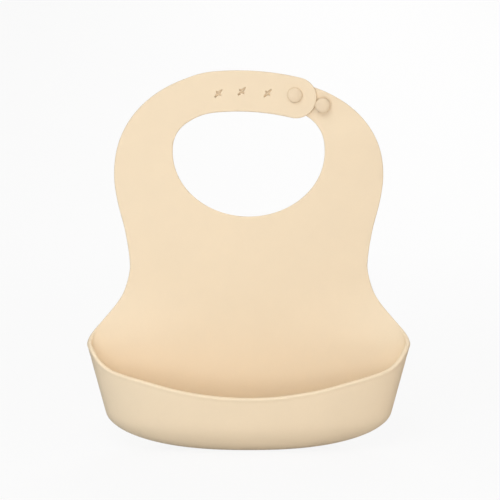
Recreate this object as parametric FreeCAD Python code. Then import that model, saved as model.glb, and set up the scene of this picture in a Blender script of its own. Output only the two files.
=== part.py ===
import FreeCAD
import Part
import math
import os

V = FreeCAD.Vector

# Driving dimensions, in mm. +X is the wearer's left, +Z up, -Y the front.
THICK = 2.2             # silicone sheet
BIG, DEEP = 400.0, 20.0     # reach of cutting boxes and cutters, past everything
GAP = 0.15              # parting line where one zone bends against the next
FLAP_GAP = 0.5          # parting line around the pocket's front, which bends both ways
CONTACT = 0.02          # between zones that stay together
FIT = 0.1               # around the floor, inside the curved wall

# Yoke and neck band, drawn in the sheet's own plane
YOKE_HALF_W, YOKE_Z = 99.4, -16.0
YOKE_RISE, STUD_SIDE_RISE, YOKE_POWER = 79.0, 72.5, 2.2
NECK_HALF_W, NECK_Z, NECK_DROP = 56.0, 1.7, 48.0
NECK_RISE, STUD_SIDE_NECK_RISE, NECK_POWER = 31.0, 35.0, 2.5
PANEL_TOP = -34.0       # yoke meets panel
WAIST = -80.0           # the narrowest level, where panel and pocket fold
POCKET_TOP = -94.0      # the flat band below the waist meets the pocket's curved wall
POCKET_TOP_HALF_W = 90.0

# Strap with the star holes: an arc of large radius, flat, in front of the other strap
BAND_X, BAND_Z, BAND_R, BAND_HALF = -8.0, 46.9, 184.0, 15.1
TIP_X, TIP_Z = 34.8, 41.8
HOLES = ((-22.1, 45.2), (-5.0, 46.7), (14.0, 45.4))
STAR_LONG, STAR_SHORT, STAR_WAIST, STAR_TURN = 3.6, 2.9, 1.3, 38.0
SNAP_HOLE_R = 2.75

# Studs
STUDS = ((33.8, 43.9), (54.2, 36.3))
ARCH_END_X = 24.0       # where the studded strap's edges run straight on
STUD_END_X, STUD_END_Z, STUD_END_R = -25.0, 45.3, 9.4     # its hidden round end
LAP = THICK + GAP       # how far it steps back to pass behind the other strap
STEP_FROM, STEP_TO = 2.0, 24.0
NECK_R, HEAD_R, HEAD_T, STUD_REACH = 2.5, 5.6, 2.4, 2.5

# Lines across the sheet where the bending zones meet: a point in X, Z and a direction
HOLE_ROOT, HOLE_ROOT_DIR = (-76.3, 8.5), 170.0
HOLE_FOLD, HOLE_FOLD_DIR = (-33.0, 45.2), 97.8
STUD_ROOT, STUD_ROOT_DIR = (76.3, 8.5), 10.0

# Pocket: level rings, each a superellipse that touches the sheet's plane at the back
RING_POWER = 2.5
WALL_Z, FLOOR_Z, ROUND_Z = -190.0, -215.5, -198.5
WALL_HALF_W, WALL_FLARE = 104.7, 0.261
WALL_HALF_D, DEPTH_FLARE = 24.5, 0.06
FLOOR_HALF_W, FLOOR_HALF_D = 22.4, 8.0
BULGE_LENGTH = 50.0     # height over which the flat sheet turns into the full ring
BEAD_R, BEAD_OUT = 1.75, 0.45
FLAP_HALF_W = 80.0
FLAP_Z = -203.0
FLAP_FRONT_Y, FLAP_SLOPE = -49.0, 22.0      # its foot slopes up, to clear the base as it bends in

# The pocket's free edge: height over the angle around the ring, from waist to front
EDGE_ANGLE = (39.4, 44.5, 54.0, 68.5, 83.0, 97.0, 110.0, 118.0, 133.0, 153.0, 180.0)
EDGE_HEIGHT = (POCKET_TOP, -106.2, -117.6, -128.3, -137.0, -139.4, -141.2, -147.6, -156.7, -165.0,
               -172.0)
BACK_ANGLE, SIDE_ANGLE, BEAD_ANGLE = 39.4, 112.0, 84.0
SEAM = 0.15             # degrees between the zones of the pocket's wall


def smooth(t):
    t = min(1.0, max(0.0, t))
    return t * t * (3 - 2 * t)


def through(xs, ys, x):
    """Cubic through the points, with the slopes of neighbouring chords."""
    n = len(xs)
    i = max(0, min(n - 2, sum(1 for k in xs[1:-1] if x >= k)))

    def slope(j):
        lo, hi = max(0, j - 1), min(n - 1, j + 1)
        return (ys[hi] - ys[lo]) / (xs[hi] - xs[lo])

    h = xs[i + 1] - xs[i]
    t = (x - xs[i]) / h
    m0, m1 = slope(i) * h, (0.0 if i + 1 == n - 1 else slope(i + 1)) * h
    return ((2 * t ** 3 - 3 * t * t + 1) * ys[i] + (t ** 3 - 2 * t * t + t) * m0
            + (3 * t * t - 2 * t ** 3) * ys[i + 1] + (t ** 3 - t * t) * m1)


def power(v, p):
    return math.copysign(abs(v) ** p, v)


def edge_height(deg):
    a = abs((deg + 180) % 360 - 180)
    return POCKET_TOP if a <= BACK_ANGLE else through(EDGE_ANGLE, EDGE_HEIGHT, a)


def ring(deg, z, half_w, half_d, centre_y):
    s, c = math.sin(math.radians(deg)), math.cos(math.radians(deg))
    e = 2.0 / RING_POWER
    return V(half_w * power(s, e), centre_y + half_d * power(c, e), z)


def mid(deg, w):
    """Middle of the pocket's wall: w 0 at the free edge, 1 at WALL_Z, 2 at the flat floor."""
    if w <= 1.0:
        top = edge_height(deg)
        z = top + (WALL_Z - top) * w
        d = (WALL_HALF_D + DEPTH_FLARE * (z - WALL_Z)) * smooth((POCKET_TOP - z) / BULGE_LENGTH)
        return ring(deg, z, WALL_HALF_W + WALL_FLARE * (z - WALL_Z), d, -d)
    turn = math.radians(90.0 * (w - 1.0))
    z = WALL_Z + (FLOOR_Z - WALL_Z) * math.sin(turn)
    wide = WALL_HALF_W + WALL_FLARE * (z - WALL_Z)
    deep = WALL_HALF_D + DEPTH_FLARE * (z - WALL_Z)
    u = max(0.0, (ROUND_Z - z) / (ROUND_Z - FLOOR_Z))
    half_w = FLOOR_HALF_W + (wide - FLOOR_HALF_W) * math.cos(turn)
    half_d = FLOOR_HALF_D + (deep - FLOOR_HALF_D) * math.sqrt(max(0.0, 1 - u * u))
    return ring(deg, z, half_w, half_d, -deep)


def outward(deg, w):
    h = 0.15
    a = mid(deg + h, w) - mid(deg - h, w)
    lo, hi = max(0.0, w - 0.003), min(1.9995, w + 0.003)
    n = a.cross(mid(deg, hi) - mid(deg, lo))
    n.normalize()
    return n if n.dot(ring(deg, 0, 1, 1, 0) + V(0, 0, -0.2 if w > 1 else 0)) > 0 else n * -1


def spaced(a, b, n):
    return [a + (b - a) * i / (n - 1) for i in range(n)]


def wall(angles, levels):
    """A piece of the pocket's wall: two fitted skins, THICK apart, joined by ruled sides."""
    skins = []
    for side in (THICK / 2, -THICK / 2):
        surf = Part.BSplineSurface()
        surf.interpolate([[mid(a, w) + outward(a, w) * side for w in levels] for a in angles])
        skins.append(surf)
    faces = [s.toShape() for s in skins]
    rims = []
    for s in skins:
        u0, u1, v0, v1 = s.bounds()
        rims.append([c.toShape() for c in (s.uIso(u0), s.uIso(u1), s.vIso(v0), s.vIso(v1))])
    faces += [Part.makeRuledSurface(o, i, 1) for o, i in zip(*rims)]
    shell = Part.makeCompound(faces)
    shell.sewShape()
    return outward_solid(Part.makeSolid(shell.Shells[0]))


def outward_solid(solid):
    if solid.Volume < 0:
        solid.reverse()
    return solid


def box(x0, x1, y0, y1, z0, z1):
    return Part.makeBox(x1 - x0, y1 - y0, z1 - z0, V(x0, y0, z0))


def beyond(point, deg, side):
    """A big box on one side of a line in the sheet's plane, half a parting line away from it."""
    z0, z1 = (GAP / 2, BIG) if side > 0 else (-BIG, -GAP / 2)
    b = box(-BIG, BIG, -BIG, BIG, z0, z1)
    b.rotate(V(0, 0, 0), V(0, 1, 0), -deg)
    b.translate(V(point[0], 0, point[1]))
    return b


def spline(points):
    c = Part.BSplineCurve()
    c.interpolate([V(x, 0, z) for x, z in points])
    return c.toShape()


def plate(edges, y0=-THICK / 2, y1=THICK / 2):
    face = Part.Face(Part.Wire(Part.__sortEdges__(edges)))
    face.translate(V(0, y0, 0))
    return outward_solid(face.extrude(V(0, y1 - y0, 0)))


def arch(x, half_w, rise, at_z, p):
    return at_z + rise * (1 - min(1.0, abs(x) / half_w) ** p) ** (1 / p)


def side_profile(sign):
    """Outer edge of panel and yoke, from the pocket up to the widest level."""
    pts = [(POCKET_TOP_HALF_W, POCKET_TOP), (88.5, -82.0), (91.6, -58.0), (97.3, -34.0), (YOKE_HALF_W, YOKE_Z)]
    return [(sign * x, z) for x, z in pts]


def arch_points(half_w, rise, at_z, p, sign, x_end, n=11):
    """From the widest level up and over to x_end, closer together where the curve turns."""
    last = math.acos(min(1.0, abs(x_end) / half_w) ** (p / 2))
    out = []
    for i in range(n):
        t = last * i / (n - 1)
        x = half_w * math.cos(t) ** (2 / p)
        out.append((sign * x, arch(x, half_w, rise, at_z, p)))
    return out


def line(a, b):
    return Part.makeLine(V(a[0], 0, a[1]), V(b[0], 0, b[1]))


def half_sheet(sign, rise, neck_rise, outer_end, inner_end, close, depth=THICK / 2):
    """Panel, yoke and strap on one side of the centre line, from a closed outline."""
    outer = side_profile(sign)[:-1] + arch_points(YOKE_HALF_W, rise, YOKE_Z, YOKE_POWER, sign, outer_end)
    inner = arch_points(NECK_HALF_W, neck_rise, NECK_Z, NECK_POWER, sign, inner_end)
    drop = [(sign * NECK_HALF_W * math.cos(t), NECK_Z - NECK_DROP * math.sin(t))
            for t in spaced(0, math.pi / 2, 9)]
    edges = [spline(outer), spline(inner), spline(drop)]
    edges += close(outer[-1], inner[-1])
    edges += [line(drop[-1], (0, POCKET_TOP)), line((0, POCKET_TOP), outer[0])]
    return plate(edges, -depth, depth)


def arc(a, m, b):
    return Part.Arc(V(a[0], 0, a[1]), V(m[0], 0, m[1]), V(b[0], 0, b[1])).toShape()


def band():
    """The star-holed strap from the fold to its round tip."""
    cz = BAND_Z - BAND_R
    lean = math.atan2(TIP_X - BAND_X, TIP_Z - cz)
    start = math.radians(90 - HOLE_FOLD_DIR)
    r_out, r_in = BAND_R + BAND_HALF, BAND_R - BAND_HALF

    def at(r, a):
        return (BAND_X + r * math.sin(a), cz + r * math.cos(a))

    def tip(a):
        c = at(BAND_R, lean)
        return (c[0] + BAND_HALF * math.sin(a), c[1] + BAND_HALF * math.cos(a))

    half = (start + lean) / 2
    edges = [arc(at(r_out, start), at(r_out, half), at(r_out, lean)),
             arc(tip(lean), tip(lean + math.pi / 2), tip(lean + math.pi)),
             arc(at(r_in, start), at(r_in, half), at(r_in, lean)),
             line(at(r_out, start), at(r_in, start))]
    return plate(edges)


def star(x, z):
    """A four-pointed star, its long points up to the right."""
    out = []
    for k in range(8):
        r = (STAR_LONG, STAR_WAIST, STAR_SHORT, STAR_WAIST)[k % 4]
        a = math.radians(STAR_TURN + 45 * k)
        out.append((x + r * math.cos(a), z + r * math.sin(a)))
    return plate([line(out[k - 1], out[k]) for k in range(8)], -DEEP, DEEP)


def stepped_slab():
    """The layer that the studded strap fills: a gentle step back behind the other strap."""
    pts = [(-12.0, 0.0), (-5.0, 0.0)]
    pts += [(STEP_FROM + t * (STEP_TO - STEP_FROM), LAP * smooth(t)) for t in (0, 0.25, 0.5, 0.75, 1)]
    pts += [(STEP_TO + k, LAP) for k in (6, 14, 30, 60, 130)]
    skins = []
    for off in (THICK / 2, -THICK / 2):
        c = Part.BSplineCurve()
        c.interpolate([V(0, y + off, s) for s, y in pts])
        skins.append(c.toShape())
    ends = [Part.makeLine(skins[0].Vertexes[k].Point, skins[1].Vertexes[k].Point) for k in (0, 1)]
    face = Part.Face(Part.Wire(Part.__sortEdges__(skins + ends)))
    slab = outward_solid(face.extrude(V(2 * BIG, 0, 0)))
    slab.translate(V(-BIG, 0, 0))
    slab.rotate(V(0, 0, 0), V(0, 1, 0), -STUD_ROOT_DIR)
    slab.translate(V(STUD_ROOT[0], 0, STUD_ROOT[1]))
    return slab


def stud(x, z):
    """Neck and low domed head, turned about Y."""
    y0 = -THICK / 2 - CONTACT
    y1, y2 = y0 - STUD_REACH, y0 - STUD_REACH - HEAD_T
    prof = [V(0, y0, 0), V(NECK_R, y0, 0), V(NECK_R, y1, 0), V(HEAD_R - 0.5, y1, 0)]
    edges = [Part.makeLine(prof[i], prof[i + 1]) for i in range(3)]
    rim = V(HEAD_R, y1 - 0.6, 0)
    edges.append(Part.Arc(prof[3], V(HEAD_R - 0.13, y1 - 0.2, 0), rim).toShape())
    high = rim.y - y2
    dome = (HEAD_R ** 2 + high ** 2) / (2 * high)
    side = V(HEAD_R / 2, y2 + dome - math.sqrt(dome ** 2 - HEAD_R ** 2 / 4), 0)
    edges.append(Part.Arc(rim, side, V(0, y2, 0)).toShape())
    edges.append(Part.makeLine(V(0, y2, 0), prof[0]))
    face = Part.Face(Part.Wire(Part.__sortEdges__(edges)))
    solid = face.revolve(V(0, 0, 0), V(0, 1, 0), 360)
    solid.translate(V(x, LAP, z))
    return outward_solid(solid)


def bead(start, end, n):
    """A stretch of the thick rolled rim, lofted through circles square to the free edge."""
    def centre(deg):
        return mid(deg, 0) + outward(deg, 0) * BEAD_OUT

    rings = [Part.Wire(Part.makeCircle(BEAD_R, centre(a), centre(a + 0.5) - centre(a - 0.5)))
             for a in spaced(start, end, n)]
    return outward_solid(Part.makeLoft(rings, True, False))


def floor_plate():
    """The flat middle of the pocket's floor."""
    centre = -WALL_HALF_D - DEPTH_FLARE * (FLOOR_Z - WALL_Z)
    c = Part.BSplineCurve()
    c.interpolate([ring(a, FLOOR_Z - THICK / 2, FLOOR_HALF_W - FIT, FLOOR_HALF_D - FIT, centre)
                   for a in spaced(0, 360, 37)[:-1]], PeriodicFlag=True)
    face = Part.Face(Part.Wire(c.toShape()))
    return outward_solid(face.extrude(V(0, 0, THICK)))


def whole(shape):
    """The largest solid of a boolean's result."""
    return max(shape.Solids, key=lambda s: s.Volume)


def straight_end(o, i):
    return [line(o, i)]


def hidden_end(o, i):
    """The studded strap past its last stud, with a round end."""
    top, low = (STUD_END_X, STUD_END_Z + STUD_END_R), (STUD_END_X, STUD_END_Z - STUD_END_R)
    return [line(o, top), arc(top, (STUD_END_X - STUD_END_R, STUD_END_Z), low), line(low, i)]


def cut_by(shape, *tools):
    for t in tools:
        shape = shape.cut(t)
    return whole(shape)


nodes = {}

# Sheet: panel, yoke and straps
turn = math.radians(90 - HOLE_FOLD_DIR)
outer_x = BAND_X + (BAND_R + BAND_HALF) * math.sin(turn)
inner_x = BAND_X + (BAND_R - BAND_HALF) * math.sin(turn)
left = half_sheet(-1, YOKE_RISE, NECK_RISE, outer_x, inner_x, straight_end)
right = half_sheet(1, STUD_SIDE_RISE, STUD_SIDE_NECK_RISE, ARCH_END_X, ARCH_END_X, hidden_end)
deep_right = half_sheet(1, STUD_SIDE_RISE, STUD_SIDE_NECK_RISE, ARCH_END_X, ARCH_END_X, hidden_end, DEEP)
below = box(-BIG, BIG, -BIG, BIG, WAIST + GAP / 2, PANEL_TOP)
band_box = box(-BIG, BIG, -BIG, BIG, POCKET_TOP + CONTACT, WAIST - GAP / 2)
above = box(-BIG, BIG, -BIG, BIG, PANEL_TOP + CONTACT, BIG)
body = left.fuse(right).removeSplitter()
nodes["chest_panel"] = whole(body.common(below))
nodes["waist_band"] = whole(body.common(band_box))
nodes["yoke_hole_side"] = whole(left.common(above).common(beyond(HOLE_ROOT, HOLE_ROOT_DIR, 1)))
nodes["yoke_stud_side"] = whole(right.common(above).common(beyond(STUD_ROOT, STUD_ROOT_DIR, -1)))
nodes["hole_strap_base"] = whole(left.common(above).common(beyond(HOLE_ROOT, HOLE_ROOT_DIR, -1)))

snap = Part.makeCylinder(SNAP_HOLE_R, 2 * DEEP, V(STUDS[0][0], -DEEP, STUDS[0][1]), V(0, 1, 0))
end = band().common(beyond(HOLE_FOLD, HOLE_FOLD_DIR, -1))
nodes["hole_strap_end"] = cut_by(end, snap, *[star(x, z) for x, z in HOLES])
nodes["stud_strap"] = whole(deep_right.common(beyond(STUD_ROOT, STUD_ROOT_DIR, 1)).common(stepped_slab()))
nodes["fastened_stud"] = stud(*STUDS[0])
nodes["free_stud"] = stud(*STUDS[1])

# Pocket: back, curved sides, cheeks, base, floor, and the front that flexes
rim = bead(BEAD_ANGLE, 360 - BEAD_ANGLE, 29)
levels = spaced(0, 1, 9) + spaced(1.08, 2, 12)
a0, a1 = BACK_ANGLE, SIDE_ANGLE
front = wall(spaced(a1, 360 - a1, 27), levels).cut(rim)
nodes["pocket_back"] = wall(spaced(-a0, a0, 15), levels)
nodes["pocket_side_left"] = cut_by(wall(spaced(SEAM - a1, -a0 - SEAM, 21), levels), rim)
nodes["pocket_side_right"] = cut_by(wall(spaced(a0 + SEAM, a1 - SEAM, 21), levels), rim)

inside, outside = FLAP_HALF_W - FLAP_GAP / 2, FLAP_HALF_W + FLAP_GAP / 2
flap_width = box(-inside, inside, -BIG, 0, -BIG, BIG)
flap_height = box(-BIG, BIG, -BIG, BIG, FLAP_Z + FLAP_GAP / 2, BIG)
flap_height.rotate(V(0, FLAP_FRONT_Y, FLAP_Z + FLAP_GAP / 2), V(1, 0, 0), FLAP_SLOPE)
nodes["pocket_front"] = whole(front.common(flap_width).common(flap_height))
nodes["rim_front"] = whole(rim.common(flap_width))
for name, x0, x1 in (("left", -BIG, -outside), ("right", outside, BIG)):
    corner = box(x0, x1, -BIG, 0, FLAP_Z + CONTACT, 0)
    nodes["pocket_cheek_" + name] = whole(front.common(corner))
    nodes["rim_" + name] = whole(rim.common(corner))
nodes["pocket_base"] = whole(front.common(box(-BIG, BIG, -BIG, 0, -BIG, FLAP_Z - FLAP_GAP / 2)))
nodes["pocket_floor"] = floor_plate()

os.makedirs("parts", exist_ok=True)
for name, shape in nodes.items():
    if not shape.isValid():
        raise RuntimeError(name + " is not a valid solid")
    shape.exportStep("parts/" + name + ".step")
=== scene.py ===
"""Moulded silicone feeding bib with a catching pocket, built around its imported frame.

The sheet, the straps and the pocket are closed meshes, THICK through, with rounded edges. Each is
drawn in a flat plan and then placed: the sheet in its own plane, the pocket around level rings.
Plans are in millimetres.
"""
import math

import bmesh
import bpy
import numpy as np
from bpy.props import FloatProperty, FloatVectorProperty, PointerProperty
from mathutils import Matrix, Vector
from mathutils.geometry import delaunay_2d_cdt


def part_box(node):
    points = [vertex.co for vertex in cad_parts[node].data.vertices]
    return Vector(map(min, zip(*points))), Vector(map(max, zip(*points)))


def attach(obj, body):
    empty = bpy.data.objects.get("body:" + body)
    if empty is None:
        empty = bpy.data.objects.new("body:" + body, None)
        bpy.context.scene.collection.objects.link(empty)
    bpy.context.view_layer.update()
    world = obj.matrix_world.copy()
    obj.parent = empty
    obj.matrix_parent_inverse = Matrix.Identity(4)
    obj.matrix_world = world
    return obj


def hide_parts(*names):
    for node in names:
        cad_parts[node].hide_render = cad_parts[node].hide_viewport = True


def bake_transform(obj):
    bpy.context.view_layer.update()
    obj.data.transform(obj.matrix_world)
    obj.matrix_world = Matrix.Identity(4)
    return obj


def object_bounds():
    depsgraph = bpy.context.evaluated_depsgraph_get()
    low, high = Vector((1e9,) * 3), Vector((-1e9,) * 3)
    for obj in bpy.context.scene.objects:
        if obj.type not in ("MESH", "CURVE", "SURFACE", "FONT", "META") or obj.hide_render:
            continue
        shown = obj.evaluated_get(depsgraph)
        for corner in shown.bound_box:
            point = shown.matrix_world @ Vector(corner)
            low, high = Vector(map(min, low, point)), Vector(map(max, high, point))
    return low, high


bl_info = {
    "name": "Silicone Feeding Bib",
    "version": (1, 0, 0),
    "blender": (4, 5, 0),
    "location": "View3D > Sidebar > Bib",
    "description": "Builds a moulded silicone bib with star holes, snap studs and a catching pocket",
    "category": "Object",
}

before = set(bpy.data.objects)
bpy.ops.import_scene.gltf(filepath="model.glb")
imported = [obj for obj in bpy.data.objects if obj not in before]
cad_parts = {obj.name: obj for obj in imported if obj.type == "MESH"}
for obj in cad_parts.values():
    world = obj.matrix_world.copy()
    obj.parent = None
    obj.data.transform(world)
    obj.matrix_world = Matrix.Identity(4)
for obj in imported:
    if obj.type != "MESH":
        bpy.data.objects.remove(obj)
CAD_BOX = [list(corner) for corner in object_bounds()]
MM = 0.001

# Sheet. +X is the wearer's left, +Z up, -Y the front.
THICK = 2.2
HALF = THICK / 2
LAP = THICK + 0.15          # the studded strap steps back this far behind the other one
STEP_FROM, STEP_TO = 2.0, 24.0

# Plan of the yoke and neck, as superellipse arches
YOKE_HALF_W, YOKE_Z, YOKE_POWER = 99.4, -16.0, 2.2
YOKE_RISE, STUD_SIDE_RISE = 79.0, 72.5
NECK_HALF_W, NECK_Z, NECK_DROP, NECK_POWER = 56.0, 1.7, 48.0, 2.5
NECK_RISE, STUD_SIDE_NECK_RISE = 31.0, 35.0
SIDE_Z = (-58.0, -34.0, YOKE_Z)
SIDE_X = (91.6, 97.3, YOKE_HALF_W)

# Plan of the strap with the star holes, and the hidden round end of the other strap
BAND_X, BAND_Z, BAND_R, BAND_HALF = -8.0, 46.9, 184.0, 15.1
TIP_X, TIP_Z = 34.8, 41.8
FOLD_EASE = 12.0            # half the length over which the arches run into the strap's arcs
HOLES = ((-22.1, 45.2), (-5.0, 46.7), (14.0, 45.4))
ARCH_END_X = 24.0
STUD_END_X, STUD_END_Z, STUD_END_R = -25.0, 45.3, 9.4

# Lines across the straps where they bend: a point and a direction, and how far off the seams lie
HOLE_ROOT, HOLE_ROOT_DIR = (-76.3, 8.5), 170.0
HOLE_FOLD, HOLE_FOLD_DIR = (-33.0, 45.2), 97.8
STUD_ROOT, STUD_ROOT_DIR = (76.3, 8.5), 10.0
ROOT_SEAM, FOLD_SEAM = 16.0, 12.0
WAIST_BEND_TOP, POCKET_TOP = -66.0, -94.0

# Pocket: level rings, each a superellipse that touches the sheet's plane at the back
RING_POWER = 2.3
WALL_Z, FLOOR_Z, ROUND_Z = -188.0, -215.2, -192.5
WALL_HALF_W, WALL_FLARE = 105.0, 0.246
WALL_HALF_D, DEPTH_FLARE = 24.5, 0.06
FLOOR_HALF_W, FLOOR_HALF_D, FOOT_POWER = 22.6, 7.4, 2.16
BULGE_LENGTH = 50.0
RING_REF_W, RING_REF_D = 118.0, 24.0      # the ring whose length measures the plan's width
PLAN_FLOOR = -180.0         # below this the wall is laid out in level rings
# Free edge: height over the angle around the ring, from just above the seam to the middle of the front
EDGE_ANGLE = (39.5, 41.9, 46.7, 55.8, 69.7, 82.9, 95.0, 101.0,
              106.0, 112.0, 118.5, 128.0, 141.0, 160.0, 180.0)
EDGE_HEIGHT = (-82.0, POCKET_TOP, -106.2, -117.6, -128.3, -135.0, -138.3, -141.5,
               -147.0, -151.4, -154.8, -158.0, -162.3, -169.7, -173.6)
BACK_ANGLE = 41.9
RIM_FROM, RIM_TO = 62.0, 92.0             # angles over which the plain edge swells to the thick rim


# ---------------------------------------------------------------- sizes and colours a user would change

class BibSizes(bpy.types.PropertyGroup):
    edge_round: FloatProperty(
        name="Edge Rounding", description="Radius along the sheet's free edges",
        default=0.9 * MM, min=0.2 * MM, max=1.05 * MM, unit="LENGTH")
    rim_radius: FloatProperty(
        name="Rim Radius", description="Radius of the thick rolled rim of the pocket",
        default=1.75 * MM, min=1.1 * MM, max=3.0 * MM, unit="LENGTH")
    mesh_step: FloatProperty(
        name="Mesh Spacing", description="Distance between mesh points on the flat areas",
        default=2.8 * MM, min=1.5 * MM, max=8.0 * MM, unit="LENGTH")
    edge_step: FloatProperty(
        name="Edge Spacing", description="Distance between mesh points along the free edges",
        default=1.6 * MM, min=0.8 * MM, max=4.0 * MM, unit="LENGTH")
    star_long: FloatProperty(
        name="Star Long Point", description="From a star hole's middle to its long points",
        default=4.0 * MM, min=1.0 * MM, max=6.0 * MM, unit="LENGTH")
    star_short: FloatProperty(
        name="Star Short Point", description="From a star hole's middle to its short points",
        default=2.3 * MM, min=1.0 * MM, max=6.0 * MM, unit="LENGTH")
    star_waist: FloatProperty(
        name="Star Waist", description="From a star hole's middle to the hollow between two points",
        default=1.4 * MM, min=0.4 * MM, max=3.0 * MM, unit="LENGTH")
    star_turn: FloatProperty(
        name="Star Turn", description="Lean of a star hole's long points above level",
        default=math.radians(46.0), subtype="ANGLE")
    snap_hole: FloatProperty(
        name="Snap Hole Radius", description="Radius of the hole that the fastened stud stands in",
        default=2.75 * MM, min=2.5 * MM, max=4.0 * MM, unit="LENGTH")
    stud_head: FloatProperty(
        name="Stud Head Radius", description="Radius of a snap stud's domed head",
        default=5.6 * MM, min=3.0 * MM, max=9.0 * MM, unit="LENGTH")
    stud_neck: FloatProperty(
        name="Stud Neck Radius", description="Radius of a snap stud's neck",
        default=2.5 * MM, min=1.0 * MM, max=4.0 * MM, unit="LENGTH")


class BibFinish(bpy.types.PropertyGroup):
    silicone: FloatVectorProperty(
        name="Silicone", description="Colour of the silicone", subtype="COLOR",
        default=(0.865, 0.72, 0.52), min=0.0, max=1.0)
    stud: FloatVectorProperty(
        name="Studs", description="Colour of the denser silicone of the studs", subtype="COLOR",
        default=(0.815, 0.665, 0.475), min=0.0, max=1.0)
    mottle: FloatProperty(
        name="Mottling", description="How far the colour wanders over the moulding",
        default=0.012, min=0.0, max=0.3, subtype="FACTOR")
    grain: FloatProperty(
        name="Grain", description="Depth of the fine grain of the mould",
        default=0.03 * MM, min=0.0, max=0.5 * MM, unit="LENGTH")
    roughness: FloatProperty(
        name="Roughness", description="Mean roughness of the matte skin",
        default=0.58, min=0.2, max=1.0, subtype="FACTOR")


class BibStage(bpy.types.PropertyGroup):
    paper: FloatVectorProperty(
        name="Paper", description="Colour of the floor and backdrop", subtype="COLOR",
        default=(0.55, 0.55, 0.55), min=0.0, max=1.0)
    paper_glow: FloatProperty(
        name="Paper Glow",
        description="How far the paper looks evenly lit, so that it stays pale behind the object",
        default=0.85, min=0.0, max=1.0)
    sky: FloatProperty(
        name="Fill", description="Strength of the even light from all around",
        default=0.40, min=0.0, max=3.0)
    key_power: FloatProperty(
        name="Key Power", description="Power of the large soft light at the upper left",
        default=7.5, min=0.0, max=500.0, unit="POWER")
    side_power: FloatProperty(
        name="Side Power", description="Power of the warm soft light low on the right",
        default=7.0, min=0.0, max=500.0, unit="POWER")
    back_power: FloatProperty(
        name="Back Power", description="Power of the soft light behind the bib",
        default=9.0, min=0.0, max=500.0, unit="POWER")
    front_power: FloatProperty(
        name="Front Power", description="Power of the soft light in front",
        default=1.6, min=0.0, max=500.0, unit="POWER")
    lens: FloatProperty(
        name="Lens", description="Focal length of the camera", default=135.5, min=20.0, max=300.0,
        unit="CAMERA")
    camera_distance: FloatProperty(
        name="Camera Distance", description="From the camera to the point it looks at",
        default=1.4, min=0.3, max=5.0, unit="LENGTH")
    camera_height: FloatProperty(
        name="Camera Elevation", description="Angle of the camera above level",
        default=math.radians(10.0), subtype="ANGLE")


# ---------------------------------------------------------------- plan curves

def smooth(t):
    t = np.clip(t, 0.0, 1.0)
    return t * t * (3 - 2 * t)


def through(xs, ys, x):
    """Cubic through the points, with the slopes of neighbouring chords and a level end."""
    xs, ys, x = np.asarray(xs), np.asarray(ys), np.asarray(x, float)
    slope = np.zeros(len(xs))
    slope[0] = (ys[1] - ys[0]) / (xs[1] - xs[0])
    slope[1:-1] = (ys[2:] - ys[:-2]) / (xs[2:] - xs[:-2])
    i = np.clip(np.searchsorted(xs, x, side="right") - 1, 0, len(xs) - 2)
    h = xs[i + 1] - xs[i]
    t = (x - xs[i]) / h
    return ((2 * t ** 3 - 3 * t ** 2 + 1) * ys[i] + (t ** 3 - 2 * t ** 2 + t) * h * slope[i]
            + (3 * t ** 2 - 2 * t ** 3) * ys[i + 1] + (t ** 3 - t ** 2) * h * slope[i + 1])


def arch(x, half_w, rise, at_z, p):
    return at_z + rise * (1 - np.clip(np.abs(x) / half_w, 0, 1) ** p) ** (1 / p)


def arch_path(half_w, rise, at_z, p, x_end, n=240):
    """From the widest level up and over to x_end, on the +X side."""
    t = np.linspace(0, math.acos(min(1.0, abs(x_end) / half_w) ** (p / 2)), n)
    return np.column_stack([half_w * np.cos(t) ** (2 / p), at_z + rise * np.sin(t) ** (2 / p)])


def ring_half_w(z):
    return WALL_HALF_W + WALL_FLARE * (z - WALL_Z)


def side_path(sign, n=120):
    """Outer edge from the pocket's seam up to the widest level, carrying on the pocket's free edge."""
    low = [(ring_half_w(h) * math.sin(math.radians(a)) ** (2 / RING_POWER), h)
           for a, h in zip(EDGE_ANGLE[2::-1], EDGE_HEIGHT[2::-1])]
    xs, zs = zip(*low, *zip(SIDE_X, SIDE_Z))
    z = np.linspace(POCKET_TOP, YOKE_Z, n)
    return np.column_stack([sign * through(zs, xs, z), z])


def neck_drop(n=200):
    """Lower half of the neck opening, from the +X side to the -X side."""
    t = np.linspace(0, math.pi, n)
    return np.column_stack([NECK_HALF_W * np.cos(t), NECK_Z - NECK_DROP * np.sin(t)])


def band_z(x, r):
    return BAND_Z - BAND_R + np.sqrt(r * r - (x - BAND_X) ** 2)


def eased(x, half_w, rise, at_z, p, r):
    """The arch before the fold and the strap's arc after it, run smoothly into each other."""
    fold = BAND_X + r * math.sin(math.radians(90 - HOLE_FOLD_DIR))
    share = smooth((x - fold + FOLD_EASE) / (2 * FOLD_EASE))
    return arch(x, half_w, rise, at_z, p) * (1 - share) + band_z(x, r) * share


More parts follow.
